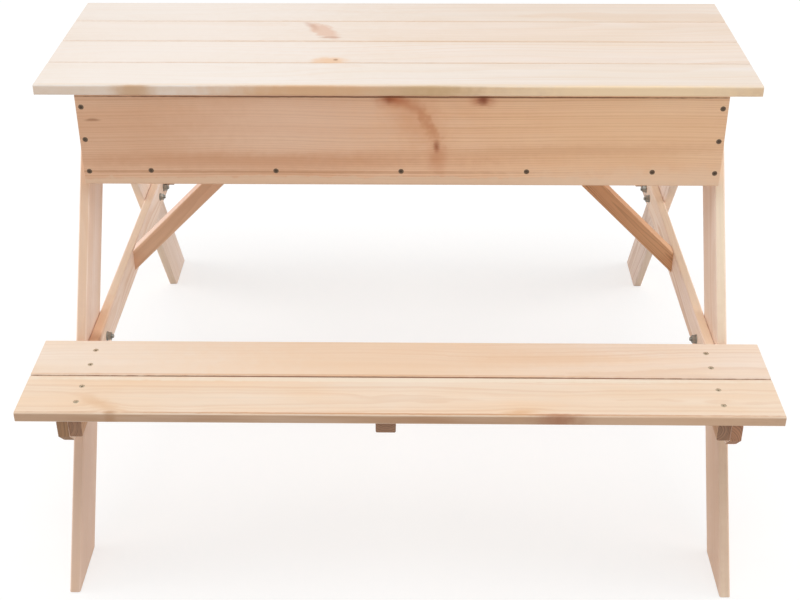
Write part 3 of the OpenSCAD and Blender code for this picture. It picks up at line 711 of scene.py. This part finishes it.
# The bolt: a dome cut from a sphere, a shank, and a thread on the part that meets the nut
dome_radius = ((bolt_head_d / 2) ** 2 + bolt_head_h ** 2) / (2 * bolt_head_h)
thread_length = washer_t + nut_t + bolt_tip
bolt_length = through_wood + thread_length
core_radius, chamfer = bolt_d / 2 - thread_depth, 0.6 * thread_pitch
helix_length = thread_length - 2 * chamfer
bolt_sizes = {
    "Head Diameter": bolt_head_d, "Head Height": bolt_head_h,
    "Dome Radius": dome_radius, "Dome Height": bolt_head_h - dome_radius,
    "Diameter": bolt_d, "Shank Length": through_wood,
    "Core Radius": core_radius, "Core Foot": chamfer - bolt_length,
    "Core Length": thread_length - chamfer, "Tip Foot": -bolt_length, "Tip Length": chamfer,
    "Thread Turns": helix_length / thread_pitch, "Thread Length": helix_length,
    "Thread Foot": 1.4 * chamfer - bolt_length, "Thread Depth": thread_depth}
bolt_shares = {"Head Radius": ("Head Diameter", 0.5), "Head Space": ("Head Height", 2.0),
               "Shank Radius": ("Diameter", 0.5), "Shank Foot": ("Shank Length", -1.0),
               "Tip Radius": ("Core Radius", 0.8)}
bolt_tree, given = fastener_tree("carriage_bolt", bolt_sizes, bolt_shares)
dome = add_node(bolt_tree, "GeometryNodeMeshUVSphere",
                {"Segments": 48, "Rings": 64, "Radius": given["Dome Radius"]})
dome = lift(bolt_tree, dome, given["Dome Height"])
above_wood = rod(bolt_tree, given["Head Radius"], 0.0, given["Head Space"], 48)
head = add_node(bolt_tree, "GeometryNodeMeshBoolean", {"Mesh 2": [dome, above_wood]},
                operation="INTERSECT", solver="EXACT")
shank, core, tip = (rod(bolt_tree, given[part + " Radius"], given[part + " Foot"],
                        given[part + " Length"], 32, given[top + " Radius"])
                    for part, top in (("Shank", "Shank"), ("Core", "Core"), ("Tip", "Core")))
helix = add_node(bolt_tree, "GeometryNodeCurveSpiral",
                 {"Resolution": 20, "Rotations": given["Thread Turns"],
                  "Start Radius": given["Core Radius"], "End Radius": given["Core Radius"],
                  "Height": given["Thread Length"]})
helix = lift(bolt_tree, helix, given["Thread Foot"])
ridge = add_node(bolt_tree, "GeometryNodeCurvePrimitiveCircle",
                 {"Resolution": 6, "Radius": given["Thread Depth"]}, mode="RADIUS")
thread = add_node(bolt_tree, "GeometryNodeCurveToMesh",
                  {"Curve": helix, "Profile Curve": ridge, "Fill Caps": True})
set_at_points(bolt_tree, given, [head, shank, core, tip, thread], 3)
fasten(bolt_tree, "bolts_zinc", bolt_places, bolt_sizes, zinc_plating, "frame",
       "carriage_bolts")

# The washer: a flat ring, punched, with slightly rounded edges
washer_sizes = {"Middle Diameter": (washer_d + bore_d) / 2, "Width": (washer_d - bore_d) / 2,
                "Thickness": washer_t, "Edge Radius": washer_edge,
                "Height": -through_wood - washer_t / 2}
washer_tree, given = fastener_tree("washer", washer_sizes,
                                   {"Middle Radius": ("Middle Diameter", 0.5)})
loop = add_node(washer_tree, "GeometryNodeCurvePrimitiveCircle",
                {"Resolution": 48, "Radius": given["Middle Radius"]}, mode="RADIUS")
strip = add_node(washer_tree, "GeometryNodeCurvePrimitiveQuadrilateral",
                 {"Width": given["Width"], "Height": given["Thickness"]}, mode="RECTANGLE")
strip = add_node(washer_tree, "GeometryNodeFilletCurve",
                 {"Curve": strip, "Radius": given["Edge Radius"], "Count": 3}, mode="POLY")
ring = add_node(washer_tree, "GeometryNodeCurveToMesh", {"Curve": loop, "Profile Curve": strip})
set_at_points(washer_tree, given, [lift(washer_tree, ring, given["Height"])], 5)
fasten(washer_tree, "washers_zinc", bolt_places, washer_sizes, zinc_plating,
       "frame", "washers")

# The nut: a hexagon bar turned down at both faces, with a countersunk bore
nut_sizes = {"Across Flats": nut_af, "Thickness": nut_t, "Bore Diameter": bore_d,
             "Cone Radius": nut_af / 2 + math.sqrt(3) * nut_t,
             "Height": -through_wood - washer_t - nut_t}
nut_shares = {"Corner Radius": ("Across Flats", 0.5 / math.cos(math.pi / 6)),
              "Face Radius": ("Across Flats", 0.5), "Bore Radius": ("Bore Diameter", 0.5),
              "Bore Foot": ("Thickness", -1.0), "Bore Length": ("Thickness", 3.0),
              "Sink Radius": ("Bore Diameter", 0.58), "Sink Depth": ("Thickness", 0.12),
              "Sink Foot": ("Sink Depth", -0.02)}
nut_tree, given = fastener_tree("hex_nut", nut_sizes, nut_shares)
hexagon = rod(nut_tree, given["Corner Radius"], 0.0, given["Thickness"], 6)
cones = [rod(nut_tree, given[low], 0.0, given["Thickness"], 48, given[high])
         for low, high in (("Cone Radius", "Face Radius"), ("Face Radius", "Cone Radius"))]
nut = add_node(nut_tree, "GeometryNodeMeshBoolean", {"Mesh 2": [hexagon, *cones]},
               operation="INTERSECT", solver="EXACT")
bore = rod(nut_tree, given["Bore Radius"], given["Bore Foot"], given["Bore Length"])
sink = rod(nut_tree, given["Sink Radius"], given["Sink Foot"], given["Sink Depth"], 32,
           given["Bore Radius"])
for hole in (bore, sink):
    nut = add_node(nut_tree, "GeometryNodeMeshBoolean", {"Mesh 1": nut, "Mesh 2": hole},
                   operation="DIFFERENCE", solver="EXACT")
set_at_points(nut_tree, given, [lift(nut_tree, nut, given["Height"])], 8)
fasten(nut_tree, "nuts_zinc", bolt_places, nut_sizes, zinc_plating, "frame",
       "hex_nuts")


# Screws
# Countersunk steel screws with a cross recess, sunk 0.4 mm under the surface of the wood. Those
# in the walls of the box are dark brown-grey, as painted shade of their sunk heads, the others
# bright. The lids are screwed from below.
screw_d, screw_head_d, screw_sunk = 0.0035, 0.007, 0.0004
tarnish = dict(cloud=(1.6, 4.0), scuff=(1.6, 4.0), roughness=(0.6, 0.4), raised=0.3)
# The dark brown-grey of the screws in the walls is painted shade of their sunk heads.
shade_darkened_zinc = plated_steel("shade_darkened_zinc_screw_steel", "#6b5a4b", "#8f7e6e", **tarnish)
bright_zinc = plated_steel("bright_zinc_screw_steel", "#c4b59c", "#d8ccb6", **tarnish)

# How far screws reach: nearly through a batten on edge or flat, or a set depth into end grain
# and into a brace. Those of the floor stop in the ledgers just above the ledgers' own screws.
screw_cover, screw_bite, brace_bite, screw_step = 0.004, 0.021, 0.014, 0.034
wall_low, wall_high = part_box("box_panel_rear")
board_t = wall_high.y - wall_low.y
batten_low, batten_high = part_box("bench_front_batten_middle")
batten_w, batten_t = batten_high.x - batten_low.x, batten_high.z - batten_low.z
into_edge = board_t + batten_w - screw_cover
into_flat = board_t + batten_t - screw_cover
into_end, into_brace = board_t + screw_bite, board_t + brace_bite
into_ledger = board_t + batten_w / 2 - screw_d


def screw_sizes(length):
    """Sizes of a screw that reaches this far into the wood."""
    head_h = (screw_head_d - screw_d) / 2
    point_h = screw_d
    return {"Diameter": screw_d, "Head Diameter": screw_head_d, "Head Height": head_h,
            "Head Foot": -screw_sunk - head_h, "Sunk": screw_sunk,
            "Shank Foot": point_h - length,
            "Shank Length": length - point_h - screw_sunk - head_h,
            "Point Foot": -length, "Point Height": point_h}


screw_shares = {"Head Radius": ("Head Diameter", 0.5), "Shank Radius": ("Diameter", 0.5),
                "Point Radius": ("Shank Radius", 0.12), "Recess Height": ("Sunk", -1.0),
                "Recess Length": ("Head Diameter", 0.56),
                "Recess Width": ("Head Diameter", 0.13),
                "Recess Depth": ("Head Diameter", 0.44)}
screw_tree, given = fastener_tree("countersunk_screw", screw_sizes(into_end), screw_shares)
head = rod(screw_tree, given["Shank Radius"], given["Head Foot"], given["Head Height"], 24,
           given["Head Radius"])
wings = []
for x, y in (("Recess Length", "Recess Width"), ("Recess Width", "Recess Length")):
    wing_size = add_node(screw_tree, "ShaderNodeCombineXYZ",
                         {"X": given[x], "Y": given[y], "Z": given["Recess Depth"]})
    wing = add_node(screw_tree, "GeometryNodeMeshCube", {"Size": wing_size})
    wings.append(lift(screw_tree, wing, given["Recess Height"]))
head = add_node(screw_tree, "GeometryNodeMeshBoolean", {"Mesh 1": head, "Mesh 2": wings},
                operation="DIFFERENCE", solver="EXACT")
shank = rod(screw_tree, given["Shank Radius"], given["Shank Foot"], given["Shank Length"], 12)
point = rod(screw_tree, given["Point Radius"], given["Point Foot"], given["Point Height"], 12,
            given["Shank Radius"])
set_at_points(screw_tree, given, [head, shank, point], 11)


def middle(node, axis):
    """Middle of a CAD node's box on one axis, 0 to 2."""
    low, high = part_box(node)
    return (low[axis] + high[axis]) / 2


up, down = Vector((0, 0, 1)), Vector((0, 0, -1))
pair = (-screw_step / 2, screw_step / 2)
panel_low, panel_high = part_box("panel_screws")
panel_z = [panel_low.z + screw_head_d / 2, (wall_low.z + wall_high.z) / 2,
           panel_high.z - screw_head_d / 2]
panel_places = [(Vector((side * middle("box_end_right", 0), end * wall_high.y, z)),
                 Vector((0, end, 0)))
                for end in (-1, 1) for side in (-1, 1) for z in panel_z]
ledger_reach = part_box("ledger_screws")[1].x - screw_head_d / 2
ledger_places = [(Vector((k * ledger_reach / 2, end * wall_high.y, middle("ledger_screws", 2))),
                  Vector((0, end, 0))) for end in (-1, 1) for k in range(-2, 3)]
floor_places = [(Vector((middle(board, 0) + k, end * middle("floor_ledger_rear", 1),
                         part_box(board)[1].z)), up)
                for board in floor_boards for end in (-1, 1) for k in pair]
bench_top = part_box("bench_front_inner_board")[1].z
bench_y = [middle(f"bench_{end}_{row}_board", 1) for end in ("front", "rear")
           for row in ("inner", "outer")]
bench_places = [(Vector((side * middle("bench_rear_batten_right", 0), y + k, bench_top)), up)
                for side in (-1, 1) for y in bench_y for k in pair]
batten_places = [(Vector((middle("bench_front_batten_middle", 0), y + k, batten_low.z)), down)
                 for y in bench_y for k in pair]
beam_places = [(Vector((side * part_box("bench_rear_batten_right")[0].x, y,
                        middle("bench_rear_batten_right", 2))), Vector((-side, 0, 0)))
               for side in (-1, 1) for y in bench_y]

# A brace's cut end is as long on the floor as on the beam, and each end has its screw in it
brace_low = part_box("brace_right")[0]
brace_y, brace_cut = middle("brace_right", 1), beam_high.z - brace_low.z
brace_places = []
for side in (-1, 1):
    at_floor = (side * (brace_low.x + brace_cut * 3 / 4), brace_y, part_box("floor_board_1")[1].z)
    at_beam = (side * beam_high.x, brace_y, beam_high.z - brace_cut / 4)
    brace_places += [(Vector(at_floor), up), (Vector(at_beam), Vector((side, 0, 0)))]

for name, node, places, length, plating in (
        ("screws_panel", "panel_screws", panel_places, into_end, shade_darkened_zinc),
        ("screws_ledger", "ledger_screws", ledger_places, into_flat, shade_darkened_zinc),
        ("screws_floor", "floor_screws", floor_places, into_ledger, bright_zinc),
        ("screws_bench", "bench_screws", bench_places, into_edge, bright_zinc),
        ("screws_bench_batten", "bench_batten_screws", batten_places, into_flat, bright_zinc),
        ("screws_beam", "beam_screws", beam_places, into_flat, bright_zinc),
        ("screws_brace", "brace_screws", brace_places, into_brace, bright_zinc)):
    fasten(screw_tree, name, places, screw_sizes(length), plating, "frame", node)
for end in ("front", "rear"):
    inner, outer = (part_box(f"lid_{end}_{row}_board") for row in ("inner", "outer"))
    near = min((inner, outer), key=lambda box: box[0].y)
    seam = (near[1].y + max(inner[0].y, outer[0].y)) / 2
    rows = [(edge.y + seam) / 2 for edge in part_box(f"lid_{end}_batten_middle")]
    battens = [f"lid_{end}_batten_{place}" for place in ("left", "middle", "right")]
    lid_places = [(Vector((middle(batten, 0), y + k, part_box(batten)[0].z)), down)
                  for batten in battens for y in rows for k in pair]
    fasten(screw_tree, f"screws_lid_{end}", lid_places, screw_sizes(into_flat), bright_zinc,
           f"{end}_lid", f"lid_{end}_screws")
